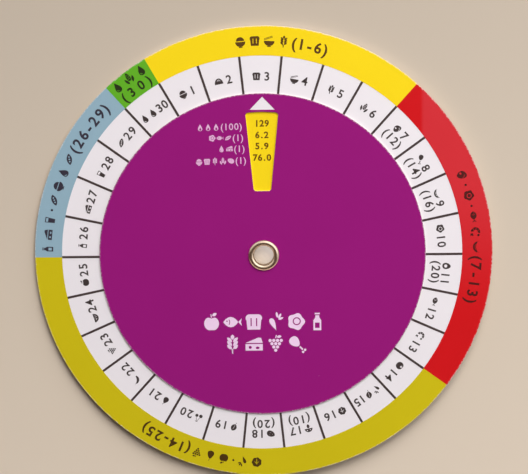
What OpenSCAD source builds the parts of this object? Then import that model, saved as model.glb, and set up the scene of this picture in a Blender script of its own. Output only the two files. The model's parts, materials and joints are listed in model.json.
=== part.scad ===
// Wheel chart: a round printed card with a smaller window dial that turns on a hollow metal eyelet.
// Millimetres. +Z leaves the printed face, and +Y runs from the eyelet to the dial's pointer.
// Clock angles are counted clockwise from +Y, as seen from above.

/* [Base card] */
// Diameter of the base card
base_d = 160; // [140:1:220]
// Thickness of the base card
base_t = 1.2; // [0.6:0.1:2.5]
// Rounding of the die-cut edges
edge_r = 0.05; // [0.05:0.05:0.1]
// Width of the coloured rim
rim_w = 10; // [6:0.1:14]
// Width of the white ring that holds the cells
ring_w = 12.95; // [8:0.05:16]

/* [Printing] */
// Cells in the yellow group
yellow_cells = 6; // [1:1:12]
// Cells in the red group
red_cells = 7; // [1:1:12]
// Cells in the olive group
olive_cells = 12; // [1:1:12]
// Cells in the blue group
blue_cells = 4; // [1:1:12]
// Cells in the green group
green_cells = 1; // [1:1:12]
// Cell under the pointer, counted clockwise from the first yellow one
pointed_cell = 3; // [1:1:5]
// Width of the dark lines between cells
line_w = 0.8; // [0.2:0.05:1]
// Sideways slip of the base card's print against its die-cut outline
print_slip = -0.55; // [-1:0.05:1]
// Slip of the base card's print towards the pointer's side
print_rise = -0.15; // [-1:0.05:1]
// Thickness of each printed film
film_t = 0.05; // [0.04:0.01:0.1]

/* [Dial] */
// Thickness of the dial card
dial_t = 0.35; // [0.25:0.05:1.5]
// Sideways slip of the dial's outline against its eyelet hole
dial_slip = -0.4; // [-1:0.05:1]
// Slip of the dial's outline towards the pointer's side
dial_rise = -0.2; // [-1:0.05:1]
// Sideways slip of the window against the dial's eyelet hole
window_slip = -0.25; // [-1:0.05:1]
// Card left between the dial's edge and the window
window_margin = 6.6; // [6:0.1:12]
// Length of the window towards the eyelet
window_len = 27.7; // [10:0.1:32]
// Width of the window near the dial's edge
window_top_w = 11.3; // [8:0.1:14]
// Width of the window near the eyelet
window_foot_w = 6.2; // [4:0.1:8]
// Rounding of the window's corners
window_corner_r = 1.0; // [0.3:0.1:1.5]
// Width of the white pointer
pointer_w = 8.7; // [4:0.1:12]
// Height of the white pointer
pointer_h = 4.5; // [2:0.1:4.5]
// Sideways slip of the pointer against the dial's eyelet hole
pointer_slip = -0.1; // [-1:0.05:1]

/* [Eyelet] */
// Outer diameter of the flange on the dial
flange_d = 10.8; // [9.5:0.1:14]
// Diameter of the hole through the eyelet
eyelet_bore_d = 6.9; // [4:0.1:7]
// Thickness of the eyelet's sheet metal
sheet_t = 0.3; // [0.2:0.05:0.4]
// Height of the flange's crown
crown_h = 0.85; // [0.6:0.05:1.2]
// Height of the clinched roll behind the base card
roll_h = 1.2; // [0.7:0.05:1.5]

/* [Fits] */
// Room round the eyelet in the dial's hole
turn_gap = 0.08; // [0.05:0.01:0.1]
// Room round the eyelet in the base card's hole
seat_gap = 0.05; // [0.02:0.01:0.1]
// Air between the base card's print and the dial
dial_gap = 0.05; // [0.05:0.01:0.3]
// Air between the dial's print and the flange
flange_gap = 0.05; // [0.03:0.01:0.2]

/* [Hidden] */
$fn = 180;

cells = yellow_cells + red_cells + olive_cells + blue_cells + green_cells;
cell_angle = 360 / cells;
first_line = (0.5 - pointed_cell) * cell_angle;
wedge_step = 15;

base_r = base_d / 2;
rim_r = base_r - rim_w;
dial_r = rim_r - ring_w;
print_place = [print_slip, print_rise];
dial_place = [dial_slip, dial_rise];
window_top_r = dial_r - window_margin;
window_foot_r = window_top_r - window_len;
pointer_gap = 1.4;
// How far the value band and the cell lines run on under the dial, past what shows
values_over = 2.5;
lines_over = 3;
// How far cutting shapes stand out of what they cut
cut_over = 1;
// Bare card between the dial's print and its eyelet hole
hole_trim = 0.1;

// Heights from the back up
base_z = roll_h;
base_print_z = base_z + base_t;
dial_z = base_print_z + film_t + dial_gap;
dial_print_z = dial_z + dial_t;
flange_z = dial_print_z + film_t + flange_gap;

bore_r = eyelet_bore_d / 2;
barrel_r = bore_r + sheet_t;
flange_r = flange_d / 2;
// Widths of the crown's inner and outer slopes, and of the roll's slopes and flat land
crown_in = 0.95;
crown_out = flange_r - bore_r - crown_in;
roll_in = 0.75;
roll_out = 0.7;
roll_land = 0.3;
arc_steps = 10;

// Point at a clock angle, at a distance from the centre
function clock(r, a) = [r * sin(a), r * cos(a)];

// Quarter of an ellipse round a point, between two angles
function quarter(c, rx, ry, a0, a1) = [
    for (i = [0 : arc_steps])
        let (a = a0 + (a1 - a0) * i / arc_steps)
        c + [rx * cos(a), ry * sin(a)]
];

// Pie slice between two clock angles, larger than the base card
module wedge(a0, a1) {
    steps = ceil((a1 - a0) / wedge_step);
    far = base_d;
    polygon(concat(
        [[0, 0]],
        [for (i = [0 : steps]) clock(far, a0 + (a1 - a0) * i / steps)]
    ));
}

module ring(r_in, r_out) {
    difference() {
        circle(r = r_out);
        circle(r = r_in);
    }
}

// Flat card disc with a rounded die-cut edge
module card_disc(r, t) {
    rotate_extrude() {
        square([r - edge_r, t]);
        translate([0, edge_r]) square([r, t - 2 * edge_r]);
        translate([r - edge_r, edge_r]) circle(r = edge_r);
        translate([r - edge_r, t - edge_r]) circle(r = edge_r);
    }
}

// Printed colour of one group: its arc of the rim, and its arc of the value band under the dial
module group_film(cells_before, group_cells) {
    a0 = first_line + cells_before * cell_angle;
    a1 = a0 + group_cells * cell_angle;
    translate([0, 0, base_print_z]) linear_extrude(film_t) intersection() {
        translate(print_place) wedge(a0, a1);
        union() {
            difference() {
                circle(r = base_r - edge_r);
                translate(print_place) circle(r = rim_r);
            }
            translate(print_place)
                ring(window_foot_r - values_over, window_top_r + values_over);
        }
    }
}

module base_card() {
    color("#f2ecee") difference() {
        translate([0, 0, base_z]) card_disc(base_r, base_t);
        cylinder(r = barrel_r + seat_gap, h = 2 * base_print_z);
    }
}

module yellow_print() {
    color("#f6d820") group_film(0, yellow_cells);
}

module red_print() {
    color("#d4202c") group_film(yellow_cells, red_cells);
}

module olive_print() {
    color("#c6b41c") group_film(yellow_cells + red_cells, olive_cells);
}

module blue_print() {
    color("#8cacbe") group_film(yellow_cells + red_cells + olive_cells, blue_cells);
}

module green_print() {
    color("#64af2d") group_film(cells - green_cells, green_cells);
}

// Dark lines across the white ring, from under the dial to the rim
module cell_lines() {
    line_start = dial_r - lines_over;
    color("#4b3e3e") translate([0, 0, base_print_z]) linear_extrude(film_t)
        translate(print_place) intersection() {
            circle(r = rim_r);
            for (i = [0 : cells - 1])
                rotate(-first_line - i * cell_angle)
                    translate([-line_w / 2, line_start])
                        square([line_w, rim_r - line_start + cut_over]);
        }
}

// Window outline: an outer end that follows a circle round the eyelet, two straight sides
// that run together towards it, and a straight foot
module window_outline() {
    c = window_corner_r;
    top_a = asin((window_top_w / 2 - c) / (window_top_r - c));
    translate([window_slip, 0]) hull() {
        for (s = [-1, -0.5, 0, 0.5, 1])
            translate(clock(window_top_r - c, s * top_a)) circle(r = c, $fn = 32);
        for (side = [-1, 1])
            translate([side * (window_foot_w / 2 - c), window_foot_r + c]) circle(r = c, $fn = 32);
    }
}

module pointer_outline() {
    tip = dial_r - pointer_gap;
    translate([pointer_slip, 0])
        polygon([[0, tip], [pointer_w / 2, tip - pointer_h], [-pointer_w / 2, tip - pointer_h]]);
}

module dial_card() {
    color("#f2ecee") difference() {
        translate([dial_slip, dial_rise, dial_z]) card_disc(dial_r, dial_t);
        cylinder(r = barrel_r + turn_gap, h = 2 * dial_print_z);
        translate([0, 0, dial_z - cut_over]) linear_extrude(dial_t + 2 * cut_over)
            window_outline();
    }
}

// Purple print of the dial, with the pointer left white
module dial_print() {
    color("#941e76") translate([0, 0, dial_print_z]) linear_extrude(film_t) difference() {
        translate(dial_place) circle(r = dial_r - edge_r);
        circle(r = barrel_r + turn_gap + hole_trim);
        window_outline();
        pointer_outline();
    }
}

// One sheet-metal piece: a domed flange on the dial, a straight barrel through both cards,
// and an end rolled outwards behind the base card, with a flat land that it rests on
module eyelet() {
    crown = [bore_r + crown_in, flange_z];
    roll = [bore_r + roll_in, roll_h];
    outer_roll = roll + [roll_land, 0];
    thin = sheet_t;
    color("#d9c9a3") rotate_extrude() polygon(concat(
        quarter(crown, crown_out, crown_h, 0, 90),
        quarter(crown, crown_in, crown_h, 90, 180),
        quarter(roll, roll_in, roll_h, 180, 270),
        quarter(outer_roll, roll_out, roll_h, 270, 360),
        quarter(outer_roll, roll_out - thin, roll_h - thin, 360, 270),
        quarter(roll, roll_in - thin, roll_h - thin, 270, 180),
        quarter(crown, crown_in - thin, crown_h - thin, 180, 90),
        quarter(crown, crown_out - thin, crown_h - thin, 90, 0)
    ));
}

base_card();
yellow_print();
red_print();
olive_print();
blue_print();
green_print();
cell_lines();
dial_card();
dial_print();
eyelet();
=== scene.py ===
import json
import math
import random

import bmesh
import bpy
from mathutils import Euler, Matrix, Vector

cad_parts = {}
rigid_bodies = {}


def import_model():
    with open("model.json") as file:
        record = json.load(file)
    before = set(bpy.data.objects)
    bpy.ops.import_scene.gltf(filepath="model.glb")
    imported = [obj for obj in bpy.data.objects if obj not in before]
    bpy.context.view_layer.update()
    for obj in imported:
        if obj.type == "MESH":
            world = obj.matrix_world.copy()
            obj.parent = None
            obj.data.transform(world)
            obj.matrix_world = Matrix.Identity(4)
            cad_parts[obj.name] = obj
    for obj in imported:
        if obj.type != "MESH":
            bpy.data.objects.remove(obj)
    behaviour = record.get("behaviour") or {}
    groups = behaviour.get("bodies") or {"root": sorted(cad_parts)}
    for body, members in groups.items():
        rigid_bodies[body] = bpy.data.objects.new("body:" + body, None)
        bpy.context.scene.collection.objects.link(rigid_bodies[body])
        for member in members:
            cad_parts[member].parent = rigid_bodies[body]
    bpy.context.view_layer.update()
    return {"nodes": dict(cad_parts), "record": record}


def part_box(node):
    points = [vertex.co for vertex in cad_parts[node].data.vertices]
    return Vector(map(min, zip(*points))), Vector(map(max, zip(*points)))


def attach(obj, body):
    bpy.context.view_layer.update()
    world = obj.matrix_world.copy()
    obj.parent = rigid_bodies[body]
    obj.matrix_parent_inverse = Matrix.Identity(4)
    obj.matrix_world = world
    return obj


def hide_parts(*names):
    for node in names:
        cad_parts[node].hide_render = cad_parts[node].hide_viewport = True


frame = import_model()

MM = 0.001
nodes = frame["nodes"]

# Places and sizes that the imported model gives
lines_low, lines_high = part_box("cell_lines")
dial_low, dial_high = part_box("dial_card")
eyelet_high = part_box("eyelet")[1]
base_low, base_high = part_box("base_card")
print_x = (lines_low.x + lines_high.x) / 2
print_y = (lines_low.y + lines_high.y) / 2
ring_r = (lines_high.x - lines_low.x) / 2
base_r = (base_high.y - base_low.y) / 2
dial_x = (dial_low.x + dial_high.x) / 2
dial_y = (dial_low.y + dial_high.y) / 2
dial_r = (dial_high.x - dial_low.x) / 2
card_top = base_high.z
film_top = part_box("yellow_print")[1].z
dial_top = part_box("dial_print")[1].z
bore = next(m for m in frame["record"]["mounts"] if m["name"] == "eyelet_bore")
bore_r = bore["dims"]["r_mm"] * MM

# Colours, linear
WHITE = (0.85, 0.80, 0.84)
YELLOW = (0.93, 0.675, 0.012)
RED = (0.62, 0.008, 0.012)
OLIVE = (0.61, 0.495, 0.009)
BLUE = (0.285, 0.43, 0.525)
GREEN = (0.12, 0.42, 0.022)
PURPLE = (0.30, 0.0085, 0.184)
DARK = (0.006, 0.005, 0.004)
OVERPRINT = (0.1, 0.055, 0.08)
SOFT_DARK = (0.045, 0.032, 0.032)
VALUE_BROWN = (0.14, 0.058, 0.001)
TITLE_WHITE = (0.87, 0.64, 0.86)
MARK_WHITE = (0.76, 0.43, 0.68)
LINE_GREY = (0.055, 0.036, 0.036)
BOARD = (0.84, 0.76, 0.64)
METAL = (0.59, 0.465, 0.35)
DULL_METAL = (0.5, 0.36, 0.2)
FLOOR = (0.625, 0.53, 0.433)
# Colour of the painted light on the table where the eyelet's hole shows it
HOLE_PAINTED_TINT = (0.61, 0.54, 0.5)
# Colour of the painted sheen, a reflection painted on the rim's upper right
PAINTED_SHEEN_TINT = (1, 0.65, 0.85)

# Painted sheen: a reflection in the film over the rim's upper right, painted into its colour: its
# strength, and where it grows across and upwards
PAINTED_SHEEN = 0.033
PAINTED_SHEEN_X = (54.3 * MM, 56 * MM)
PAINTED_SHEEN_Y = (-25 * MM, 30 * MM)

# Table: its painted sheen, with its brightness in front of the eyelet and behind it and the distance at
# which these are reached, and the painted light on what shows through the eyelet's hole, on the side away
# from the near lamp and towards it
FLOOR_PAINTED_SHEEN = (1.15, 0.85)
FLOOR_PAINTED_SHEEN_Y = 0.085
HOLE_PAINTED_LIGHT = (0.1, 1.0)
# Radius at which the eyelet's roll rests on the table
ROLL_REST_R = 4.5 * MM

# Cells are counted clockwise from the first yellow one; each group has a name, an ink and a first cell
CELLS = 30
CELL_ANGLE = 360 / CELLS
POINTED = 3
GROUPS = [
    ("yellow", YELLOW, 1),
    ("red", RED, 7),
    ("olive", OLIVE, 14),
    ("blue", BLUE, 26),
    ("green", GREEN, 30),
]


# Outlines of the pictograms, in units of their height; turns are in degrees, anticlockwise

# How blunt the tips of pods and tapered bends are, and how far inside its end a bend's taper starts
TIP_POWER = 0.7
TAPER_INSET = 0.06
# How wide a tear swells, and how its width gathers at the foot
TEAR_SWELL = 1.3
TEAR_POWER = 1.6
# Angles, in radians, over which the dips at the top and the foot of a dimpled round fade out
TOP_DIP = 0.4
FOOT_DIP = 0.35


def moved(points, x, y, turn):
    c = math.cos(math.radians(turn))
    s = math.sin(math.radians(turn))
    return [(x + c * u - s * v, y + s * u + c * v) for u, v in points]


def around(steps):
    return [2 * math.pi * i / steps for i in range(steps)]


def oval(x, y, w, h, turn=0, steps=18):
    points = [(w / 2 * math.cos(t), h / 2 * math.sin(t)) for t in around(steps)]
    return moved(points, x, y, turn)


def pod(x, y, length, width, turn=0, steps=16):
    points = []
    for t in around(steps):
        side = math.sin(t) * abs(math.sin(t)) ** TIP_POWER
        points.append((length / 2 * math.cos(t), width / 2 * side))
    return moved(points, x, y, turn)


def tear(x, y, w, h, turn=0, steps=20):
    points = []
    for t in around(steps):
        side = TEAR_SWELL * math.sin(t) * math.sin(t / 2) ** TEAR_POWER
        points.append((w / 2 * side, h / 2 * math.cos(t)))
    return moved(points, x, y, turn)


def pebble(x, y, w, h, taper, turn=0, steps=20):
    points = []
    for t in around(steps):
        side = math.sin(t) * (1 - taper * math.cos(t)) / (1 + taper * taper / 2)
        points.append((w / 2 * side, h / 2 * math.cos(t)))
    return moved(points, x, y, turn)


def lobed(x, y, r, lobes, depth, steps=32):
    points = []
    for t in around(steps):
        reach = r * (1 + depth * math.cos(lobes * t))
        points.append((x + reach * math.cos(t), y + reach * math.sin(t)))
    return points


def dimpled(x, y, r, top, foot, steps=30):
    points = []
    for t in around(steps):
        away = min(t, 2 * math.pi - t)
        dip = top * math.exp(-((away / TOP_DIP) ** 2))
        dip += foot * math.exp(-(((math.pi - away) / FOOT_DIP) ** 2))
        points.append((x + r * (1 - dip) * math.sin(t), y + r * (1 - dip) * math.cos(t)))
    return points


def strip(x0, y0, x1, y1, width):
    run = math.hypot(x1 - x0, y1 - y0)
    u = (y0 - y1) / run * width / 2
    v = (x1 - x0) / run * width / 2
    return [(x0 + u, y0 + v), (x0 - u, y0 - v), (x1 - u, y1 - v), (x1 + u, y1 + v)]


def bend(x, y, r, width, a0, a1, taper=False, steps=8):
    inner = []
    outer = []
    for i in range(steps + 1):
        f = i / steps
        a = math.radians(a0 + (a1 - a0) * f)
        half = width / 2
        if taper:
            half *= math.sin(math.pi * (TAPER_INSET + (1 - 2 * TAPER_INSET) * f)) ** TIP_POWER
        outer.append((x + (r + half) * math.cos(a), y + (r + half) * math.sin(a)))
        inner.append((x + (r - half) * math.cos(a), y + (r - half) * math.sin(a)))
    return outer + inner[::-1]


def dome(x, y, w, h, turn=0, steps=12):
    points = []
    for i in range(steps + 1):
        t = math.pi * i / steps
        points.append((w / 2 * math.cos(t), h * math.sin(t)))
    return moved(points, x, y, turn)


def star(x, y, r, inner, points, turn=0):
    tips = []
    for i in range(2 * points):
        reach = inner if i % 2 else r
        t = math.pi * i / points
        tips.append((reach * math.sin(t), reach * math.cos(t)))
    return moved(tips, x, y, turn)


shoulder = oval(0.22, 0.2, 0.4, 0.4)
shoulder = shoulder[-2:] + shoulder[:5]
LOAF = [(-0.33, -0.4), (0.33, -0.4)] + shoulder + [(-x, y) for x, y in reversed(shoulder)]

PICTOGRAMS = {
    "apple": [
        dimpled(0, -0.07, 0.38, 0.3, 0.1),
        pod(0.15, 0.4, 0.26, 0.16, 30),
        strip(0, 0.24, -0.03, 0.42, 0.05),
    ],
    "pear": [pebble(0, -0.1, 0.58, 0.74, 0.42), strip(0.01, 0.3, 0.06, 0.47, 0.05)],
    "tomato": [dimpled(0, -0.04, 0.41, 0.1, 0.05), star(0, 0.17, 0.17, 0.07, 5, 180)],
    "carrot": [
        tear(-0.08, -0.14, 0.3, 0.7, 205),
        pod(0.1, 0.36, 0.3, 0.12, 100),
        pod(0.24, 0.3, 0.3, 0.12, 60),
        pod(0.3, 0.17, 0.28, 0.12, 20),
    ],
    "fish": [
        pod(-0.1, 0, 0.74, 0.54),
        [(0.28, 0), (0.47, 0.2), (0.42, 0), (0.47, -0.2)],
        oval(-0.29, 0.05, 0.07, 0.07, steps=10),
        bend(-0.37, 0, 0.22, 0.035, -38, 38, steps=6),
    ],
    "egg": [
        lobed(0, 0, 0.42, 5, 0.09),
        oval(0.03, 0.02, 0.42, 0.42),
        oval(0.03, 0.02, 0.3, 0.3),
    ],
    "yolk": [pebble(0, 0, 0.68, 0.9, 0.2), oval(0, -0.08, 0.34, 0.34)],
    "bread": [LOAF, strip(-0.14, -0.22, -0.14, 0.2, 0.06), strip(0.14, -0.22, 0.14, 0.2, 0.06)],
    "bun": [
        dome(0, -0.3, 0.9, 0.62),
        strip(-0.17, 0, -0.06, 0.2, 0.04),
        strip(0.17, 0, 0.06, 0.2, 0.04),
        strip(0, 0.02, 0, 0.2, 0.04),
    ],
    "rice": [
        dome(0, 0, 0.86, 0.42, 180),
        dome(0, 0.06, 0.7, 0.34),
        strip(-0.16, -0.46, 0.16, -0.46, 0.07),
    ],
    "noodles": [
        dome(0, 0, 0.9, 0.42, 180),
        strip(-0.42, 0.08, 0.3, 0.34, 0.05),
        strip(-0.42, 0.17, 0.24, 0.42, 0.05),
        strip(-0.16, -0.46, 0.16, -0.46, 0.07),
    ],
    "wheat": [strip(0, -0.48, 0, -0.22, 0.06), pod(0, 0.39, 0.27, 0.2, 90, 10)]
    + [
        pod(side * 0.15, -0.13 + 0.19 * k, 0.34, 0.18, 90 - side * 45, 10)
        for k in range(3)
        for side in (-1, 1)
    ],
    "oil": [tear(0, 0, 0.62, 0.92), bend(0, -0.16, 0.18, 0.05, 190, 260)],
    "milk": [
        [(-0.2, -0.46), (0.2, -0.46), (0.2, 0.06), (0.1, 0.22)]
        + [(0.1, 0.32), (-0.1, 0.32), (-0.1, 0.22), (-0.2, 0.06)],
        strip(-0.13, 0.41, 0.13, 0.41, 0.08),
        [(-0.12, -0.34), (0.12, -0.34), (0.12, -0.06), (-0.12, -0.06)],
    ],
    "glass": [
        [(-0.24, 0.42), (0.24, 0.42), (0.17, -0.42), (-0.17, -0.42)],
        [(-0.17, 0.34), (0.17, 0.34), (0.155, 0.16), (-0.155, 0.16)],
    ],
    "cheese": [
        [(-0.44, -0.32), (0.44, -0.32), (0.44, 0.02), (-0.44, 0.02)],
        [(-0.44, 0.08), (0.44, 0.08), (0.36, 0.34), (0.22, 0.36)],
        oval(-0.2, -0.15, 0.16, 0.16, steps=12),
        oval(0.18, -0.18, 0.2, 0.14, steps=12),
    ],
    "drumstick": [
        pebble(-0.12, 0.12, 0.5, 0.6, -0.3, 45),
        strip(0.13, -0.13, 0.29, -0.29, 0.09),
        oval(0.4, -0.3, 0.13, 0.13, steps=10),
        oval(0.3, -0.41, 0.13, 0.13, steps=10),
    ],
    "steak": [
        pebble(0, 0, 0.86, 0.66, 0.25, 70),
        oval(-0.14, -0.08, 0.2, 0.16, 20, 12),
        bend(0.02, -0.06, 0.26, 0.04, 0, 80),
    ],
    "sausage": [
        bend(0, 0.34, 0.52, 0.26, 212, 328, True, 12),
        oval(-0.475, 0.13, 0.07, 0.07, steps=8),
        oval(0.475, 0.13, 0.07, 0.07, steps=8),
        bend(0, 0.34, 0.47, 0.035, 240, 300, steps=6),
    ],
    "shrimp": [bend(0.02, -0.02, 0.3, 0.22, a, a + 42, steps=4) for a in (70, 118, 166, 214)]
    + [
        [(0.1, -0.44), (0.34, -0.5), (0.28, -0.36), (0.36, -0.22), (0.12, -0.24)],
        pod(0.31, 0.21, 0.26, 0.2, -40),
    ],
    "mushroom": [
        dome(0, 0.04, 0.86, 0.4),
        pebble(0, -0.22, 0.3, 0.42, -0.15),
        oval(-0.17, 0.2, 0.12, 0.1, steps=10),
        oval(0.16, 0.24, 0.14, 0.1, steps=10),
    ],
    "grapes": [
        oval(0.19 * (k - (3 - row) / 2), 0.2 - 0.17 * row, 0.17, 0.17, steps=10)
        for row in range(4)
        for k in range(4 - row)
    ]
    + [strip(0, 0.32, 0.04, 0.48, 0.05), pod(0.18, 0.4, 0.24, 0.14, 10)],
    "banana": [
        bend(0.1, 0.34, 0.5, 0.27, 175, 285, True, 14),
        strip(-0.42, 0.42, -0.38, 0.5, 0.06),
    ],
    "beans": [pod(0, 0, 0.98, 0.46, 35)]
    + [oval(0.164 * k, 0.115 * k, 0.13, 0.13, steps=10) for k in (-1, 0, 1)],
    "leaf": [
        pod(0, 0.06, 0.8, 0.62, 70),
        strip(-0.1, -0.2, 0.08, 0.3, 0.035),
        strip(-0.15, -0.36, -0.19, -0.48, 0.06),
    ],
    "cabbage": [
        lobed(0, 0.02, 0.42, 7, 0.06),
        strip(0, -0.3, 0, 0.22, 0.05),
        bend(-0.3, 0.2, 0.25, 0.04, -65, -18, steps=5),
        bend(0.3, 0.2, 0.25, 0.04, 198, 245, steps=5),
    ],
    "potato": [
        pebble(0, 0, 0.66, 0.9, 0.15, 65),
        oval(-0.16, 0.06, 0.07, 0.05, steps=8),
        oval(0.1, 0.12, 0.07, 0.05, steps=8),
        oval(0.08, -0.12, 0.07, 0.05, steps=8),
    ],
    "melon": [dome(0, 0.16, 0.96, 0.52, 180)]
    + [pod(0.16 * k, 0.03 - 0.05 * abs(k), 0.12, 0.07, 90, 8) for k in (-1.4, 0, 1.4)]
    + [pod(0.11 * k, -0.12, 0.12, 0.07, 90, 8) for k in (-1, 1)],
    "corn": [pebble(0, 0.12, 0.36, 0.74, 0.2)]
    + [
        oval(0.11 * (k - 0.5), 0.3 - 0.17 * row, 0.055, 0.09, steps=8)
        for row in range(3)
        for k in (0, 1)
    ]
    + [pod(-0.28, -0.19, 0.58, 0.22, 112), pod(0.28, -0.19, 0.58, 0.22, 68)],
    "cherry": [
        oval(-0.2, -0.22, 0.38, 0.38),
        oval(0.24, -0.16, 0.34, 0.34),
        strip(-0.15, 0.02, 0, 0.38, 0.045),
        strip(0.21, 0.06, 0.08, 0.38, 0.045),
        pod(0.05, 0.46, 0.3, 0.09),
    ],
    "flame": [tear(0, 0.02, 0.66, 0.94), tear(0.02, -0.18, 0.3, 0.42)],
    "dot": [oval(0, 0, 0.2, 0.2, steps=10)],
}

# Printed marks are thin closed solids, made once for each sign and laid down where they belong.
# A mark stands out of the print by its thickness less the depth that it is sunk by
MARK_T = 0.018 * MM
MARK_SINK = 0.004 * MM
# Height of a figure in Blender's own font at size 1, and the steps in each of its curves
FIGURE_H = 0.691
FIGURE_STEPS = 3
# Points of a sign of unit height that lie nearer than this are one
SIGN_MERGE = 0.0005
sign_meshes = {}


def outline_curve(loops):
    curve = bpy.data.curves.new("sign", "CURVE")
    curve.dimensions = "2D"
    curve.fill_mode = "BOTH"
    for loop in loops:
        spline = curve.splines.new("POLY")
        spline.points.add(len(loop) - 1)
        for point, (x, y) in zip(spline.points, loop):
            point.co = (x, y, 0, 1)
        spline.use_cyclic_u = True
    return curve


def figure_curve(text, weight):
    curve = bpy.data.curves.new("sign", "FONT")
    curve.body = text
    curve.align_x = "CENTER"
    curve.resolution_u = FIGURE_STEPS
    curve.offset = weight
    return curve


def sign_mesh(sign, weight):
    """Centred mesh of a pictogram or a figure, one unit high and one unit thick.

    The weight thickens a figure's strokes; a pictogram has none.
    """
    key = (sign, weight)
    if key in sign_meshes:
        return sign_meshes[key]
    if sign in PICTOGRAMS:
        curve = outline_curve(PICTOGRAMS[sign])
        grow = 1
        drop = 0
    else:
        curve = figure_curve(sign, weight)
        grow = 1 / FIGURE_H
        drop = 0.5
    curve.extrude = 0.5
    holder = bpy.data.objects.new("sign", curve)
    bpy.context.scene.collection.objects.link(holder)
    graph = bpy.context.evaluated_depsgraph_get()
    mesh = bpy.data.meshes.new_from_object(holder.evaluated_get(graph))
    bpy.data.objects.remove(holder)
    bm = bmesh.new()
    bm.from_mesh(mesh)
    bmesh.ops.remove_doubles(bm, verts=bm.verts, dist=SIGN_MERGE)
    bmesh.ops.transform(
        bm,
        matrix=Matrix.Translation((0, -drop, 0)) @ Matrix.Diagonal((grow, grow, 1, 1)),
        verts=bm.verts,
    )
    bmesh.ops.recalc_face_normals(bm, faces=bm.faces)
    bm.to_mesh(mesh)
    bm.free()
    sign_meshes[key] = mesh
    return mesh


def lay_sign(bm, sign, x, y, height, turn, z, weight=0.0):
    """Adds one sign to bm, centred at x, y and printed on height z.

    Its top points turn degrees clockwise from +Y.
    """
    before = len(bm.verts)
    bm.from_mesh(sign_mesh(sign, weight))
    bm.verts.ensure_lookup_table()
    place = (
        Matrix.Translation((x, y, z + MARK_T / 2 - MARK_SINK))
        @ Matrix.Rotation(math.radians(-turn), 4, "Z")
        @ Matrix.Diagonal((height, height, MARK_T, 1))
    )
    bmesh.ops.transform(bm, matrix=place, verts=bm.verts[before:])


# Width that each sign takes in a line, as a share of the line's height
ROOM = {".": 0.42, "(": 0.5, ")": 0.5, "-": 0.62, "1": 0.74, "dot": 0.5}
FIGURE_ROOM = 0.78
PICTOGRAM_ROOM = 1.18
# Height of a figure in a line, as a share of a pictogram's
FIGURE_SHARE = 0.86


def sign_room(sign):
    return ROOM.get(sign, PICTOGRAM_ROOM if sign in PICTOGRAMS else FIGURE_ROOM)


def sign_height(sign, height):
    return height if sign in PICTOGRAMS else height * FIGURE_SHARE


def line_offsets(signs, height, spread):
    """Where the middle of each sign lies along a line, measured from the line's own middle."""
    widths = [sign_room(sign) * height * spread for sign in signs]
    start = -sum(widths) / 2
    offsets = []
    for width in widths:
        offsets.append(start + width / 2)
        start += width
    return offsets


def lay_straight(bm, signs, centre, height, turn, z, weight, spread=1.0):
    """A straight line of signs round centre; turn is the clock angle that the signs' tops point to."""
    c = math.cos(math.radians(-turn))
    s = math.sin(math.radians(-turn))
    for sign, along in zip(signs, line_offsets(signs, height, spread)):
        x = centre[0] + c * along
        y = centre[1] + s * along
        lay_sign(bm, sign, x, y, sign_height(sign, height), turn, z, weight)


def print_point(clock, radius, across=0.0):
    """Point of the base card's print at a clock angle and a radius, and then so far across, clockwise."""
    c = math.cos(math.radians(clock))
    s = math.sin(math.radians(clock))
    return print_x + c * across + s * radius, print_y + c * radius - s * across


def lay_arc(bm, signs, radius, mid, height, z, weight, spread):
    """Signs along a circle round the print's centre, tops outwards, with the middle at clock angle mid."""
    for sign, along in zip(signs, line_offsets(signs, height, spread)):
        clock = mid + math.degrees(along / radius)
        x, y = print_point(clock, radius)
        lay_sign(bm, sign, x, y, sign_height(sign, height), clock, z, weight)


def finish_piece(bm, name, material, body):
    """Turns bm into a named piece at the origin that rides on a body."""
    mesh = bpy.data.meshes.new(name)
    bm.to_mesh(mesh)
    bm.free()
    mesh.materials.append(material)
    piece = bpy.data.objects.new(name, mesh)
    bpy.context.scene.collection.objects.link(piece)
    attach(piece, body)
    return piece


# Node helpers

COLOUR = "NodeSocketColor"
NUMBER = "NodeSocketFloat"


def add(tree, kind, **settings):
    """New node with the given settings."""
    node = tree.nodes.new(kind)
    for label, value in settings.items():
        setattr(node, label, value)
    return node


def wire(tree, source, target):
    """Links an output to a socket, or sets the socket to a number, a vector or a colour."""
    if isinstance(source, tuple):
        target.default_value = (*source, 1) if target.type == "RGBA" else source
    elif isinstance(source, (int, float)):
        target.default_value = source
    else:
        tree.links.new(source, target)


def math_node(tree, operation, a, b=None, clamp=False):
    node = add(tree, "ShaderNodeMath", operation=operation, use_clamp=clamp)
    wire(tree, a, node.inputs[0])
    if b is not None:
        wire(tree, b, node.inputs[1])
    return node.outputs[0]


def times(tree, a, b):
    return math_node(tree, "MULTIPLY", a, b)


def centred(tree, pattern, middle, amount):
    """What a pattern adds or takes away: its distance from its middle value, times an amount."""
    return times(tree, math_node(tree, "SUBTRACT", pattern, middle), amount)


def map_range(tree, value, low, high, to_low, to_high, smooth=False):
    node = add(tree, "ShaderNodeMapRange")
    if smooth:
        node.interpolation_type = "SMOOTHSTEP"
    wire(tree, value, node.inputs["Value"])
    ends = {"From Min": low, "From Max": high, "To Min": to_low, "To Max": to_high}
    for label, end in ends.items():
        wire(tree, end, node.inputs[label])
    return node.outputs["Result"]


def split_axes(tree, vector):
    """Outputs for the X, Y and Z of a vector."""
    node = add(tree, "ShaderNodeSeparateXYZ")
    wire(tree, vector, node.inputs[0])
    return node.outputs


def noise(tree, vector, scale, detail=2.0, rough=0.5):
    """Noise from 0 to 1; the scale is in waves to a metre."""
    node = add(tree, "ShaderNodeTexNoise")
    wire(tree, vector, node.inputs["Vector"])
    wire(tree, scale, node.inputs["Scale"])
    wire(tree, detail, node.inputs["Detail"])
    wire(tree, rough, node.inputs["Roughness"])
    return node.outputs["Fac"]


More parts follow.
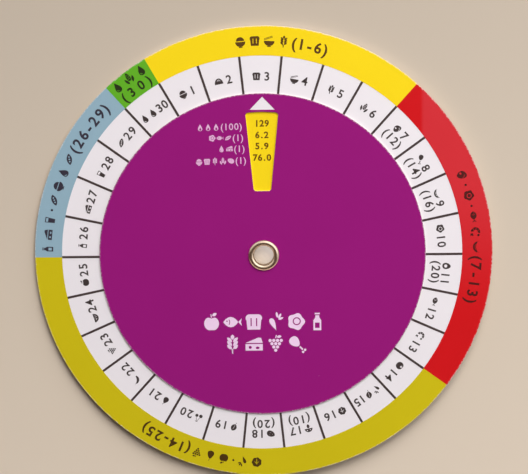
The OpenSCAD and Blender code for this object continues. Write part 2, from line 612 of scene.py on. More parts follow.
def dot_distance(tree, vector, scale, scatter):
    """Distance to the nearest of many dots, in shares of their spacing."""
    node = add(tree, "ShaderNodeTexVoronoi", feature="F1", distance="EUCLIDEAN")
    wire(tree, vector, node.inputs["Vector"])
    wire(tree, scale, node.inputs["Scale"])
    wire(tree, scatter, node.inputs["Randomness"])
    return node.outputs["Distance"]


def stretched(tree, vector, scale, place=(0, 0, 0)):
    node = add(tree, "ShaderNodeMapping")
    wire(tree, vector, node.inputs["Vector"])
    wire(tree, place, node.inputs["Location"])
    wire(tree, scale, node.inputs["Scale"])
    return node.outputs[0]


def mix_colour(tree, factor, a, b, blend="MIX"):
    node = add(tree, "ShaderNodeMix", data_type="RGBA", blend_type=blend)
    # A colour mix has its factor at input 0, its colours at inputs 6 and 7, and its result at output 2
    for index, value in ((0, factor), (6, a), (7, b)):
        wire(tree, value, node.inputs[index])
    return node.outputs[2]


def scale_colour(tree, colour, level):
    node = add(tree, "ShaderNodeVectorMath", operation="SCALE")
    wire(tree, colour, node.inputs[0])
    wire(tree, level, node.inputs["Scale"])
    return node.outputs[0]


def object_place(tree):
    return add(tree, "ShaderNodeTexCoord").outputs["Object"]


def from_axis(tree, place, centre_x, centre_y):
    """How far a place on the object lies from an upright axis, along X and along Y."""
    axes = split_axes(tree, place)
    x = math_node(tree, "SUBTRACT", axes["X"], centre_x)
    y = math_node(tree, "SUBTRACT", axes["Y"], centre_y)
    return x, y


def axis_distance(tree, place, centre_x, centre_y):
    x, y = from_axis(tree, place, centre_x, centre_y)
    square = math_node(tree, "ADD", times(tree, x, x), times(tree, y, y))
    return math_node(tree, "SQRT", square)


def axis_angle(tree, place, centre_x, centre_y):
    """Angle of a place round an upright axis, in radians anticlockwise from +X."""
    x, y = from_axis(tree, place, centre_x, centre_y)
    return math_node(tree, "ARCTAN2", y, x)


def make_group(name, inputs, outputs):
    """New group and what it is given. Inputs have default values, and outputs their kinds."""
    group = bpy.data.node_groups.new(name, "ShaderNodeTree")
    for label, value in inputs.items():
        kind = COLOUR if isinstance(value, tuple) else NUMBER
        socket = group.interface.new_socket(label, in_out="INPUT", socket_type=kind)
        socket.default_value = value
    for label, kind in outputs.items():
        group.interface.new_socket(label, in_out="OUTPUT", socket_type=kind)
    group.nodes.new("NodeGroupOutput")
    return group, group.nodes.new("NodeGroupInput").outputs


def put_out(group, **values):
    """Wires the outputs of a group, and returns it."""
    for label, value in values.items():
        wire(group, value, group.nodes["Group Output"].inputs[label])
    return group


def facing(tree, direction, clock):
    """How far a place or a direction lies towards a clock angle."""
    aim = add(tree, "ShaderNodeVectorMath", operation="DOT_PRODUCT")
    a = math.radians(clock)
    wire(tree, direction, aim.inputs[0])
    wire(tree, (math.sin(a), math.cos(a), 0), aim.inputs[1])
    return aim.outputs["Value"]


# Effects that materials share

# Hairline scratches: each set's turn in degrees and its shift, their fineness, how far along they are
# drawn out, and the noise that they begin and are full at
SCRATCH_SETS = ((25, 3.1), (112, 7.7), (158, 5.3))
SCRATCH_SCALE = 3500
SCRATCH_STRETCH = (1, 0.03, 1)
SCRATCH_NOISE = (0.76, 0.8)
# Largest mote of dust, as a share of the spacing of motes, and the noise that dusty patches lie between
MOTE_SIZE = 0.035
DUSTY_NOISE = (0.55, 0.75)
# Z of the normal between the flat face and the cut side, at the back, and where the lip in front begins
SIDE_UPRIGHT = (0.35, 0.8)
BACK_UPRIGHT = -0.5
LIP_UPRIGHT = (0.1, 0.2)
# Distance from a card's edge over which print that is drawn over the lip ends
LIP_INSET = (0.07 * MM, 0.09 * MM)


def make_ink_lay():
    """Printed ink: slow mottle, fine paper speckle and a faint dot screen."""
    group, given = make_group(
        "ink lay",
        {"Ink": (1, 1, 1, 1), "Mottle": 0.06, "Speckle": 0.04, "Screen": 0.03},
        {"Color": COLOUR},
    )
    place = object_place(group)
    mottle = centred(group, noise(group, place, scale=45, detail=3), 0.5, given["Mottle"])
    speckle = centred(group, noise(group, place, scale=2600), 0.5, given["Speckle"])
    dots = dot_distance(group, place, scale=5200, scatter=0.15)
    screen = centred(group, dots, 0.4, given["Screen"])
    total = math_node(group, "ADD", math_node(group, "ADD", mottle, speckle), screen)
    level = math_node(group, "ADD", total, 1)
    return put_out(group, Color=scale_colour(group, given["Ink"], level))


def scratches(tree, place):
    """Hairlines in three directions, 1 on a line and 0 beside it."""
    hair = 0
    for turn, shift in SCRATCH_SETS:
        turned = add(tree, "ShaderNodeVectorRotate", rotation_type="Z_AXIS")
        wire(tree, place, turned.inputs["Vector"])
        wire(tree, math.radians(turn), turned.inputs["Angle"])
        drawn_out = stretched(tree, turned.outputs[0], SCRATCH_STRETCH, (shift, 0, 0))
        streak = noise(tree, drawn_out, SCRATCH_SCALE, detail=0)
        line = map_range(tree, streak, *SCRATCH_NOISE, 0, 1)
        hair = math_node(tree, "MAXIMUM", hair, line)
    return hair


def make_film_wear():
    """Clear film over print: orange peel, hairline scratches in all directions, and dust."""
    group, given = make_group(
        "film wear",
        {"Gloss": 0.3, "Scratches": 0.035, "Dust": 0.5},
        {"Roughness": NUMBER, "Height": NUMBER, "Dust": NUMBER},
    )
    place = object_place(group)
    hair = scratches(group, place)
    patches = noise(group, place, scale=55, detail=1)
    size = map_range(group, patches, *DUSTY_NOISE, 0, MOTE_SIZE)
    mote = math_node(group, "LESS_THAN", dot_distance(group, place, scale=160, scatter=1), size)
    dusty = times(group, mote, given["Dust"])
    smear = centred(group, noise(group, place, scale=30, detail=3, rough=0.6), 0.5, 0.14)
    rough = math_node(group, "ADD", given["Gloss"], smear)
    rough = math_node(group, "ADD", rough, times(group, hair, given["Scratches"]))
    rough = math_node(group, "ADD", rough, times(group, dusty, 0.3), clamp=True)
    peel = noise(group, place, scale=900, detail=1)
    height = math_node(group, "SUBTRACT", peel, times(group, hair, 0.3))
    return put_out(group, Roughness=rough, Height=height, Dust=dusty)


def make_cut_edge():
    """Masks round the die-cut edge of a card disc.

    Rubbed is worn print beside the edge, Side the cut face, Under the back,
    and Lip the print that is drawn over the rounded edge in front.
    """
    group, given = make_group(
        "cut edge",
        {"Centre X": 0.0, "Centre Y": 0.0, "Edge radius": 0.08, "Reach": 0.0004},
        {"Rubbed": NUMBER, "Side": NUMBER, "Under": NUMBER, "Lip": NUMBER},
    )
    place = object_place(group)
    radius = axis_distance(group, place, given["Centre X"], given["Centre Y"])
    inset = math_node(group, "SUBTRACT", given["Edge radius"], radius)
    reach_share = math_node(group, "DIVIDE", inset, given["Reach"])
    near = math_node(group, "SUBTRACT", 1, reach_share, clamp=True)
    chips = map_range(group, noise(group, place, scale=1400, detail=3, rough=0.6), 0.42, 0.62, 0, 1)
    upright = split_axes(group, add(group, "ShaderNodeTexCoord").outputs["Normal"])["Z"]
    side = map_range(group, math_node(group, "ABSOLUTE", upright), *SIDE_UPRIGHT, 1, 0)
    under = math_node(group, "LESS_THAN", upright, BACK_UPRIGHT)
    beside = map_range(group, inset, *LIP_INSET, 1, 0)
    lip = times(group, beside, map_range(group, upright, *LIP_UPRIGHT, 0, 1))
    return put_out(group, Rubbed=times(group, near, chips), Side=side, Under=under, Lip=lip)


def make_board_grain():
    """Bare board: fibres, clouds and flecks."""
    group, given = make_group(
        "board grain",
        {"Board": (0.6, 0.6, 0.6, 1), "Depth": 0.2},
        {"Color": COLOUR, "Height": NUMBER},
    )
    place = object_place(group)
    fibre = noise(group, stretched(group, place, (0.25, 1, 1)), scale=2400, detail=4, rough=0.65)
    cloud = noise(group, place, scale=120)
    flecks = map_range(group, noise(group, place, scale=700), 0.68, 0.74, 0, 0.5)
    level = math_node(group, "ADD", centred(group, fibre, 0.5, given["Depth"]), 1)
    level = math_node(group, "ADD", level, centred(group, cloud, 0.5, 0.08))
    level = math_node(group, "SUBTRACT", level, times(group, flecks, given["Depth"]))
    return put_out(group, Color=scale_colour(group, given["Board"], level), Height=fibre)


def make_metal_touch():
    """Handled plated metal: smudges, hairlines round the axis and dull spots."""
    group, given = make_group(
        "metal touch",
        {"Polish": 0.3, "Smudge": 0.14},
        {"Roughness": NUMBER, "Height": NUMBER, "Dull": NUMBER},
    )
    place = object_place(group)
    coil = add(group, "ShaderNodeCombineXYZ")
    wire(group, times(group, axis_distance(group, place, 0, 0), 9000), coil.inputs[0])
    wire(group, times(group, axis_angle(group, place, 0, 0), 1.5), coil.inputs[1])
    rings = noise(group, coil.outputs[0], scale=1)
    smudge = noise(group, place, scale=350, detail=3, rough=0.6)
    spots = map_range(group, noise(group, place, scale=900), 0.6, 0.72, 0, 1)
    smudged = centred(group, smudge, 0.4, given["Smudge"])
    rough = math_node(group, "ADD", given["Polish"], smudged)
    rough = math_node(group, "ADD", rough, times(group, spots, 0.06), clamp=True)
    return put_out(group, Roughness=rough, Height=rings, Dull=spots)


INK_LAY = make_ink_lay()
FILM_WEAR = make_film_wear()
CUT_EDGE = make_cut_edge()
BOARD_GRAIN = make_board_grain()
METAL_TOUCH = make_metal_touch()


# Materials

# Depth of the bumps in a film over print and in the eyelet's metal
FILM_BUMP = 0.002 * MM
METAL_BUMP = 0.0015 * MM
# How white rubbed print and dust look
RUBBED_WHITE = 0.75
DUST_WHITE = 0.5
# Bare board: its roughness, and how much deeper than a film's its bumps are
BARE_ROUGH = 0.85
FIBRE_DEPTH = 6
# How far dull spots change the metal's colour
DULL_SHARE = 0.3


def use_group(tree, group, **values):
    """Node for a shared effect; each value sets the input of that name, with _ for a space."""
    node = add(tree, "ShaderNodeGroup", node_tree=group)
    for label, value in values.items():
        wire(tree, value, node.inputs[label.replace("_", " ")])
    return node


def new_material(name):
    material = bpy.data.materials.new(name)
    material.use_nodes = True
    tree = material.node_tree
    return material, tree, tree.nodes["Principled BSDF"]


def bump(tree, shader, height, distance):
    node = add(tree, "ShaderNodeBump")
    wire(tree, 1, node.inputs["Strength"])
    wire(tree, distance, node.inputs["Distance"])
    wire(tree, height, node.inputs["Height"])
    wire(tree, node.outputs[0], shader.inputs["Normal"])


def film_haze(tree):
    """Painted sheen over the rim's upper right, a reflection in the film mixed into its colour, sharp at
    its left and fading slowly towards the foot.
    """
    axes = split_axes(tree, object_place(tree))
    right = map_range(tree, axes["X"], *PAINTED_SHEEN_X, 0, 1, smooth=True)
    high = map_range(tree, axes["Y"], *PAINTED_SHEEN_Y, 0, PAINTED_SHEEN, smooth=True)
    return times(tree, right, high)


def film_material(name, ink, centre, edge_radius, mottle=0.06, with_painted_sheen=False):
    """Printed colour under a clear gloss film, rubbed white in specks along the die-cut edge, and where
    asked a painted sheen mixed into the colour.
    """
    material, tree, shader = new_material(name)
    lay = use_group(tree, INK_LAY, Ink=ink, Mottle=mottle)
    wear = use_group(tree, FILM_WEAR, Gloss=0.2)
    edge = use_group(tree, CUT_EDGE, Centre_X=centre[0], Centre_Y=centre[1], Edge_radius=edge_radius)
    worn = times(tree, edge.outputs["Rubbed"], RUBBED_WHITE)
    colour = mix_colour(tree, worn, lay.outputs["Color"], WHITE)
    colour = mix_colour(tree, times(tree, wear.outputs["Dust"], DUST_WHITE), colour, WHITE)
    # Painted sheen: a reflection in the film, mixed into the colour
    if with_painted_sheen:
        colour = mix_colour(tree, film_haze(tree), colour, PAINTED_SHEEN_TINT)
    wire(tree, colour, shader.inputs["Base Color"])
    wire(tree, wear.outputs["Roughness"], shader.inputs["Roughness"])
    bump(tree, shader, wear.outputs["Height"], FILM_BUMP)
    return material


def rim_ink(tree):
    """Colour of the group that a place belongs to, by its clock angle round the print's centre."""
    angle = axis_angle(tree, object_place(tree), print_x, print_y)
    start = math.radians(90 - (0.5 - POINTED) * CELL_ANGLE)
    turns = math_node(tree, "DIVIDE", math_node(tree, "SUBTRACT", start, angle), 2 * math.pi)
    ramp = add(tree, "ShaderNodeValToRGB")
    ramp.color_ramp.interpolation = "CONSTANT"
    stops = ramp.color_ramp.elements
    while len(stops) < len(GROUPS):
        stops.new(0.5)
    for stop, (_, ink, first) in zip(stops, GROUPS):
        stop.position = (first - 1) / CELLS
        stop.color = (*ink, 1)
    wire(tree, math_node(tree, "FRACT", turns), ramp.inputs["Fac"])
    return ramp.outputs["Color"]


def card_material(name, centre, edge_radius, lip_ink=None):
    """White card: glossy printed face, fibrous cut edge and a plain uncoated back."""
    material, tree, shader = new_material(name)
    lay = use_group(tree, INK_LAY, Ink=WHITE, Mottle=0.02, Speckle=0.02, Screen=0.0)
    wear = use_group(tree, FILM_WEAR, Gloss=0.22, Dust=0.3)
    edge = use_group(tree, CUT_EDGE, Centre_X=centre[0], Centre_Y=centre[1], Edge_radius=edge_radius)
    board = use_group(tree, BOARD_GRAIN, Board=BOARD)
    bare = math_node(tree, "MAXIMUM", edge.outputs["Side"], edge.outputs["Under"])
    colour = mix_colour(tree, bare, lay.outputs["Color"], board.outputs["Color"])
    colour = mix_colour(tree, edge.outputs["Lip"], colour, lip_ink or rim_ink(tree))
    wire(tree, colour, shader.inputs["Base Color"])
    bare_rough = times(tree, bare, BARE_ROUGH)
    rough = math_node(tree, "MAXIMUM", wear.outputs["Roughness"], bare_rough)
    wire(tree, rough, shader.inputs["Roughness"])
    fibre = times(tree, times(tree, board.outputs["Height"], bare), FIBRE_DEPTH)
    height = math_node(tree, "ADD", fibre, wear.outputs["Height"])
    bump(tree, shader, height, FILM_BUMP)
    return material


def ink_material(name, ink, speckle=0.25, overprint=False):
    """Solid ink, a little uneven; an overprint lets some of the rim's colour through."""
    material, tree, shader = new_material(name)
    lay = use_group(tree, INK_LAY, Ink=ink, Mottle=0.2, Speckle=speckle, Screen=0.0)
    if overprint:
        under = mix_colour(tree, 1, rim_ink(tree), OVERPRINT, "MULTIPLY")
        wire(tree, mix_colour(tree, 1, under, ink, "ADD"), lay.inputs["Ink"])
    wear = use_group(tree, FILM_WEAR, Gloss=0.34, Dust=0.2)
    wire(tree, lay.outputs["Color"], shader.inputs["Base Color"])
    wire(tree, wear.outputs["Roughness"], shader.inputs["Roughness"])
    bump(tree, shader, wear.outputs["Height"], FILM_BUMP)
    return material


def metal_material():
    """Pale gold plating of the eyelet."""
    material, tree, shader = new_material("pale gold plating")
    touch = use_group(tree, METAL_TOUCH)
    dull = times(tree, touch.outputs["Dull"], DULL_SHARE)
    wire(tree, mix_colour(tree, dull, METAL, DULL_METAL), shader.inputs["Base Color"])
    wire(tree, touch.outputs["Roughness"], shader.inputs["Roughness"])
    shader.inputs["Metallic"].default_value = 1
    bump(tree, shader, touch.outputs["Height"], METAL_BUMP)
    return material


def floor_material():
    """Pale table with a painted sheen, brighter towards the front, and painted light where the eyelet's
    hole shows it.
    """
    material, tree, shader = new_material("pale table")
    place = object_place(tree)
    # Painted sheen: brighter towards the front and darker behind
    level = map_range(tree, split_axes(tree, place)["Y"], -FLOOR_PAINTED_SHEEN_Y, FLOOR_PAINTED_SHEEN_Y, *FLOOR_PAINTED_SHEEN)
    wire(tree, scale_colour(tree, FLOOR, level), shader.inputs["Base Color"])
    shader.inputs["Roughness"].default_value = 0.85
    shader.inputs["Specular IOR Level"].default_value = 0.2
    # Painted light: a glow that only the camera sees on the table under the eyelet's hole, strongest on
    # the side towards the near lamp, which the eyelet's wall shades
    under = math_node(tree, "LESS_THAN", axis_distance(tree, place, 0, 0), ROLL_REST_R)
    backfacing = add(tree, "ShaderNodeNewGeometry").outputs["Backfacing"]
    under = times(tree, under, math_node(tree, "SUBTRACT", 1, backfacing))
    seen = add(tree, "ShaderNodeLightPath").outputs["Is Camera Ray"]
    painted_light = map_range(tree, facing(tree, place, LAMP_CLOCK), -bore_r, bore_r, *HOLE_PAINTED_LIGHT)
    shader.inputs["Emission Color"].default_value = (*HOLE_PAINTED_TINT, 1)
    wire(tree, times(tree, times(tree, under, seen), painted_light), shader.inputs["Emission Strength"])
    return material


# Finishes of the CAD nodes


def dress(node, material):
    """Gives a CAD node's meshes a material in place of the one that they come with."""
    for part in [nodes[node], *nodes[node].children_recursive]:
        if part.type == "MESH":
            for material_slot in part.material_slots:
                material_slot.material = material


dress("base_card", card_material("base card", (0, 0), base_r))
dress("dial_card", card_material("dial card", (dial_x, dial_y), dial_r, PURPLE))
# The red film gets a painted sheen over the rim's upper right
for group_name, group_ink, _ in GROUPS:
    film = film_material(f"{group_name} film", group_ink, (0, 0), base_r, with_painted_sheen=group_name == "red")
    dress(f"{group_name}_print", film)
dress("dial_print", film_material("purple film", PURPLE, (dial_x, dial_y), dial_r, mottle=0.08))
dress("cell_lines", ink_material("cell line ink", LINE_GREY))

sign_ink = ink_material("sign ink", DARK, overprint=True)
cell_ink = ink_material("cell ink", SOFT_DARK)
value_ink = ink_material("value ink", VALUE_BROWN)
title_print = ink_material("title print", TITLE_WHITE, speckle=0.04)
mark_print = ink_material("row mark print", MARK_WHITE, speckle=0.04)


# Signs in the cells

CELL_SIGNS = [
    "rice", "bun", "bread", "noodles", "wheat", "corn",
    "steak", "drumstick", "sausage", "egg", "yolk", "fish", "shrimp",
    "tomato", "carrot", "cabbage", "mushroom", "potato", "leaf",
    "cherry", "pear", "banana", "grapes", "melon", "apple",
    "milk", "cheese", "glass", "beans",
    "oil",
]
LABEL_R = ring_r - 7.2 * MM
LABEL_H = 3.3 * MM
LABEL_WEIGHT = 0.02
LABEL_STEP = 3.6 * MM
TWO_LINE_CELLS = {7: "12", 8: "14", 9: "16", 11: "20", 17: "10", 18: "20"}
THREE_SIGN_CELLS = {15: "leaf", 30: "oil"}
THREE_SIGN_SPREAD = 0.88
ONE_FIGURE_SPREAD = 1.12


def cell_clock(cell):
    return (cell - POINTED) * CELL_ANGLE


def make_cell_marks():
    bm = bmesh.new()
    for cell, pictogram in enumerate(CELL_SIGNS, 1):
        number = str(cell)
        signs = [pictogram, *number]
        radius = LABEL_R
        clock = cell_clock(cell)
        spread = ONE_FIGURE_SPREAD if len(number) == 1 else 1.0
        if cell in THREE_SIGN_CELLS:
            signs.insert(1, THREE_SIGN_CELLS[cell])
            spread = THREE_SIGN_SPREAD
        if cell in TWO_LINE_CELLS:
            second = f"({TWO_LINE_CELLS[cell]})"
            inner = print_point(clock, LABEL_R - LABEL_STEP / 2)
            lay_straight(bm, second, inner, LABEL_H, clock, card_top, LABEL_WEIGHT)
            radius += LABEL_STEP / 2
        centre = print_point(clock, radius)
        lay_straight(bm, signs, centre, LABEL_H, clock, card_top, LABEL_WEIGHT, spread)
    finish_piece(bm, "cell_marks", cell_ink, "base")


# Legends along the rim, with the numbers of the cells that they cover: radius, clock angle of the middle,
# height, spread and signs

LEGEND_R = (base_r + ring_r) / 2
LEGEND_H = 4.1 * MM
LEGEND_WEIGHT = 0.026
LEGENDS = [
    (LEGEND_R, 5.5, LEGEND_H, 1.03, ["rice", "bread", "noodles", "wheat", *"(1-6)"]),
    (
        LEGEND_R, 85, LEGEND_H, 1.12,
        ["steak", "dot", "egg", "dot", "fish", "shrimp", "sausage", *"(7-13)"],
    ),
    (
        LEGEND_R, 197.7, LEGEND_H, 1.01,
        ["cabbage", "carrot", "dot", "apple", "pear", "grapes", *"(14-25)"],
    ),
    (
        LEGEND_R, 292.7, LEGEND_H, 1.06,
        ["milk", "cheese", "glass", "dot", "beans", "rice", "oil", "beans", *"(26-29)"],
    ),
    (LEGEND_R + 2.25 * MM, 324, LEGEND_H, 1.04, ["oil", "corn", "oil"]),
    (LEGEND_R - 2.05 * MM, 324, 3.6 * MM, 1.45, "(30)"),
]


def make_rim_legends():
    bm = bmesh.new()
    for radius, mid, height, spread, signs in LEGENDS:
        lay_arc(bm, signs, radius, mid, height, film_top, LEGEND_WEIGHT, spread)
    finish_piece(bm, "rim_legends", sign_ink, "base")


# Values under the dial, four rows to a cell: the rows' radii, and each row's lowest and highest value, as
# whole numbers, and its decimal places

VALUE_ROWS = (46.55 * MM, 42.52 * MM, 38.63 * MM, 34.61 * MM)
VALUE_RANGES = ((105, 590, 0), (12, 98, 1), (11, 97, 1), (104, 789, 1))
VALUE_H = 2.15 * MM
VALUE_X = 0.24 * MM
VALUE_WEIGHT = 0.03
VALUE_PITCH = 1.72 * MM
POINT_PITCH = 1.35 * MM
VALUE_SEED = 30


def value_text(chance, low, high, places):
    number = chance.randint(low, high) / 10**places
    return f"{number:.{places}f}"


def lay_value(bm, text, radius, clock):
    steps = [POINT_PITCH if sign == "." else VALUE_PITCH for sign in text]
    start = VALUE_X - sum(steps) / 2
    for sign, step in zip(text, steps):
        x, y = print_point(clock, radius, start + step / 2)
        start += step
        lay_sign(bm, sign, x, y, VALUE_H, clock, film_top, VALUE_WEIGHT)


def make_window_values():
    chance = random.Random(VALUE_SEED)
    bm = bmesh.new()
    for cell in range(1, CELLS + 1):
        for radius, (low, high, places) in zip(VALUE_ROWS, VALUE_RANGES):
            lay_value(bm, value_text(chance, low, high, places), radius, cell_clock(cell))
    finish_piece(bm, "window_values", value_ink, "base")


# Row marks beside the window: where each row ends at its right, its turn and its signs

ROW_MARKS = [
    (-7.0 * MM, 45.44 * MM, -1.5, ["flame", "flame", "flame", *"(100)"]),
    (-6.55 * MM, 41.5 * MM, -0.7, ["egg", "fish", "beans", *"(1)"]),
    (-6.1 * MM, 37.66 * MM, 0, ["oil", "cheese", *"(1)"]),
    (-5.65 * MM, 33.6 * MM, -1.8, ["rice", "bread", "wheat", "corn", "potato", *"(1)"]),
]
ROW_MARK_H = 2.6 * MM
ROW_MARK_WEIGHT = 0.01
ROW_MARK_SPREAD = 0.9

# Title signs below the eyelet: the middle of each row, the pitch of its signs, and the signs

TITLE_H = 6.9 * MM
TITLE_ROWS = [
    (0.02 * MM, -23.84 * MM, 7.44 * MM, ["apple", "fish", "bread", "carrot", "egg", "milk"]),
    (0.12 * MM, -31.97 * MM, 7.6 * MM, ["wheat", "cheese", "grapes", "drumstick"]),
]


def make_row_marks():
    bm = bmesh.new()
    for right, y, turn, signs in ROW_MARKS:
        length = sum(sign_room(sign) for sign in signs) * ROW_MARK_H * ROW_MARK_SPREAD
        slope = math.radians(-turn)
        centre = (right - length / 2 * math.cos(slope), y - length / 2 * math.sin(slope))
        lay_straight(bm, signs, centre, ROW_MARK_H, turn, dial_top, ROW_MARK_WEIGHT, ROW_MARK_SPREAD)
    finish_piece(bm, "dial_row_marks", mark_print, "dial")


def make_title():
    bm = bmesh.new()
    for x, y, pitch, signs in TITLE_ROWS:
        start = x - pitch * (len(signs) - 1) / 2
        for k, sign in enumerate(signs):
            lay_sign(bm, sign, start + k * pitch, y, TITLE_H, 0, dial_top)
    finish_piece(bm, "dial_title", title_print, "dial")


# Eyelet: the CAD profile with finer curves

SHEET_T = 0.3 * MM
CROWN_IN = 0.95 * MM
FLANGE_GAP = 0.05 * MM
ROLL_IN = 0.75 * MM
ROLL_OUT = 0.7 * MM
ROLL_LAND = 0.3 * MM
ARC_STEPS = 14
SPIN_STEPS = 160
EYELET_MERGE = 0.0005 * MM
SHARP_ANGLE = 40


def quarter(centre, rx, ry, a0, a1):
    """Quarter of an ellipse round a centre, between two angles."""
    points = []
    for i in range(ARC_STEPS + 1):
        a = math.radians(a0 + (a1 - a0) * i / ARC_STEPS)
        points.append((centre[0] + rx * math.cos(a), centre[1] + ry * math.sin(a)))
    return points


def make_eyelet():
    flange_z = dial_top + FLANGE_GAP
    crown_h = eyelet_high.z - flange_z
    roll_h = base_low.z
    crown_out = eyelet_high.x - bore_r - CROWN_IN
    crown = (bore_r + CROWN_IN, flange_z)
    roll = (bore_r + ROLL_IN, roll_h)
    outer_roll = (roll[0] + ROLL_LAND, roll_h)
    t = SHEET_T
    profile = quarter(crown, crown_out, crown_h, 0, 90)
    profile += quarter(crown, CROWN_IN, crown_h, 90, 180)[1:]
    profile += quarter(roll, ROLL_IN, roll_h, 180, 270)
    profile += quarter(outer_roll, ROLL_OUT, roll_h, 270, 360)
    profile += quarter(outer_roll, ROLL_OUT - t, roll_h - t, 360, 270)
    profile += quarter(roll, ROLL_IN - t, roll_h - t, 270, 180)
    profile += quarter(crown, CROWN_IN - t, crown_h - t, 180, 90)
    profile += quarter(crown, crown_out - t, crown_h - t, 90, 0)[1:]
    bm = bmesh.new()
    ring = [bm.verts.new((r, 0, z)) for r, z in profile]
    edges = [bm.edges.new((ring[i - 1], ring[i])) for i in range(len(ring))]
    bmesh.ops.spin(
        bm,
        geom=ring + edges,
        cent=(0, 0, 0),
        axis=(0, 0, 1),
        angle=2 * math.pi,
        steps=SPIN_STEPS,
        use_merge=True,
    )
    bmesh.ops.remove_doubles(bm, verts=bm.verts, dist=EYELET_MERGE)
    bmesh.ops.recalc_face_normals(bm, faces=bm.faces)
    for face in bm.faces:
        face.smooth = True
    piece = finish_piece(bm, "eyelet_shell", metal_material(), "base")
    piece.data.set_sharp_from_angle(angle=math.radians(SHARP_ANGLE))
    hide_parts("eyelet")


make_cell_marks()
make_rim_legends()
make_window_values()
make_row_marks()
make_title()
make_eyelet()


# Table, light and camera

FLOOR_SIZE = 3.0
# Clock angle at which the rim touches the table
TOUCH_CLOCK = 314


def make_floor():
    """Table that the chart leans on: it has tipped over its eyelet's roll until its rim touches.

    The part stays put, so the table is tilted instead.
    """
    bm = bmesh.new()
    bmesh.ops.create_grid(bm, x_segments=1, y_segments=1, size=FLOOR_SIZE / 2)
    mesh = bpy.data.meshes.new("table_top")
    bm.to_mesh(mesh)
    bm.free()
    mesh.materials.append(floor_material())
    floor = bpy.data.objects.new("table_top", mesh)
    slope = base_low.z / (base_r - ROLL_REST_R)
    a = math.radians(TOUCH_CLOCK)
    floor.rotation_mode = "AXIS_ANGLE"
    floor.rotation_axis_angle = (math.atan(slope), math.cos(a), -math.sin(a), 0)
    floor.location = (0, 0, -slope * ROLL_REST_R)
    bpy.context.scene.collection.objects.link(floor)


# The room is bright towards SKY_CLOCK, most of all towards GAIN_CLOCK, and dim behind and straight above.
# A warm glow, low and towards GLOW_CLOCK, shows in reflections only. Matt surfaces take MATT_SHARE of the
# room's light, and most of theirs from the lamps. Tops and heights are the Z of a direction
SKY_CLOCK = 19
SKY_EDGE = (0.06, 0.15)
SKY_SPREAD = 0.4
SKY_TOP = (0.82, 0.95)
SKY_BASE = 1.0
SKY_GAIN = 0.45
GAIN_CLOCK = 330
SKY_DIM = 0.1
GLOW = 2.3
GLOW_HEIGHT = (0.4, 0.2)
GLOW_CLOCK = 165
GLOW_EDGE = (0.1, 0.4)
MATT_SHARE = 0.3
DIM_TINT = (1, 0.64, 0.38)
GLOW_TINT = (1, 0.82, 0.74)
BACKDROP = (0.66, 0.59, 0.52)


def make_sky():
    """Soft room light, with a plain pale backdrop for the camera."""
    world = bpy.data.worlds.new("room")
    bpy.context.scene.world = world
    world.use_nodes = True
    tree = world.node_tree
    room = tree.nodes["Background"]
    direction = add(tree, "ShaderNodeTexCoord").outputs["Generated"]
    height = split_axes(tree, direction)["Z"]
    light_path = add(tree, "ShaderNodeLightPath").outputs
    spread = times(tree, math_node(tree, "SUBTRACT", 1, height), SKY_SPREAD)
    ahead = math_node(tree, "ADD", facing(tree, direction, SKY_CLOCK), spread)
    bright = map_range(tree, ahead, *SKY_EDGE, 0, 1, smooth=True)
    bright = times(tree, bright, map_range(tree, height, *SKY_TOP, 1, 0, smooth=True))
    gain = map_range(tree, facing(tree, direction, GAIN_CLOCK), 0, 1, SKY_BASE, SKY_BASE + SKY_GAIN)
    low = map_range(tree, height, *GLOW_HEIGHT, 0, 1, smooth=True)
    beside = map_range(tree, facing(tree, direction, GLOW_CLOCK), *GLOW_EDGE, 0, 1, smooth=True)
    glow = times(tree, times(tree, low, beside), light_path["Is Glossy Ray"])
    dim = map_range(tree, glow, 0, 1, SKY_DIM, GLOW)
    level = map_range(tree, bright, 0, 1, dim, gain)
    share = map_range(tree, light_path["Is Glossy Ray"], 0, 1, MATT_SHARE, 1)
    wire(tree, times(tree, level, share), room.inputs["Strength"])
    tint = mix_colour(tree, glow, DIM_TINT, GLOW_TINT)
    wire(tree, mix_colour(tree, bright, tint, (1, 1, 1)), room.inputs["Color"])
    backdrop = add(tree, "ShaderNodeBackground")
    wire(tree, BACKDROP, backdrop.inputs["Color"])
    mix = add(tree, "ShaderNodeMixShader")
    wire(tree, light_path["Is Camera Ray"], mix.inputs[0])
    wire(tree, room.outputs[0], mix.inputs[1])
    wire(tree, backdrop.outputs[0], mix.inputs[2])
    wire(tree, mix.outputs[0], tree.nodes["World Output"].inputs["Surface"])


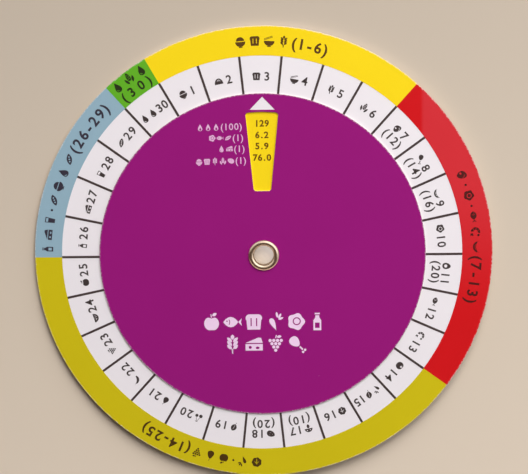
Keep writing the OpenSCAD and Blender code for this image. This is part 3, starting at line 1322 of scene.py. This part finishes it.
# Camera at the photograph's viewing angle: metres, degrees and millimetres
CAMERA_PLACE = (0.00138, 0.1318, 0.686205)
CAMERA_TURN = (-10.391, 0.013, -0.498)
CAMERA_LENS = 135.71
CAMERA_SENSOR = 36
CAMERA_NEAR = 0.01


def make_camera():
    lens = bpy.data.cameras.new("camera")
    lens.sensor_fit = "HORIZONTAL"
    lens.sensor_width = CAMERA_SENSOR
    lens.lens = CAMERA_LENS
    lens.clip_start = CAMERA_NEAR
    camera = bpy.data.objects.new("camera", lens)
    camera.location = CAMERA_PLACE
    camera.rotation_euler = Euler([math.radians(a) for a in CAMERA_TURN], "XYZ")
    bpy.context.scene.collection.objects.link(camera)
    bpy.context.scene.camera = camera


# Lamps: clock angle, degrees from straight above, distance from the eyelet, side and power
LAMP_CLOCK = 45
LAMP_TILT = 50
LAMP_AWAY = 0.58
LAMP_SIZE = 0.8
LAMP_WATTS = 3.35
KEY_CLOCK = 12
KEY_TILT = 53
KEY_AWAY = 4.0
KEY_SIZE = 2.4
KEY_WATTS = 128
KEY_COLOUR = (1, 0.985, 0.965)


def make_lamp(name, clock, lean, away, size, watts):
    """Square lamp aimed at the eyelet."""
    light = bpy.data.lights.new(name, "AREA")
    light.shape = "SQUARE"
    light.size = size
    light.energy = watts
    lamp = bpy.data.objects.new(name, light)
    tilt = math.radians(lean)
    a = math.radians(clock)
    reach = away * math.sin(tilt)
    lamp.location = (reach * math.sin(a), reach * math.cos(a), away * math.cos(tilt))
    lamp.rotation_euler = Euler((-tilt, 0, -a), "XYZ")
    lamp.visible_camera = False
    bpy.context.scene.collection.objects.link(lamp)
    return lamp


def make_lamps():
    """A near lamp that falls off a little across the chart, and a far one that casts its main shadow."""
    make_lamp("soft lamp", LAMP_CLOCK, LAMP_TILT, LAMP_AWAY, LAMP_SIZE, LAMP_WATTS)
    key = make_lamp("key lamp", KEY_CLOCK, KEY_TILT, KEY_AWAY, KEY_SIZE, KEY_WATTS)
    key.data.color = KEY_COLOUR
    key.visible_glossy = False


make_floor()
make_sky()
make_lamps()
make_camera()
bpy.context.scene.view_settings.view_transform = "Standard"
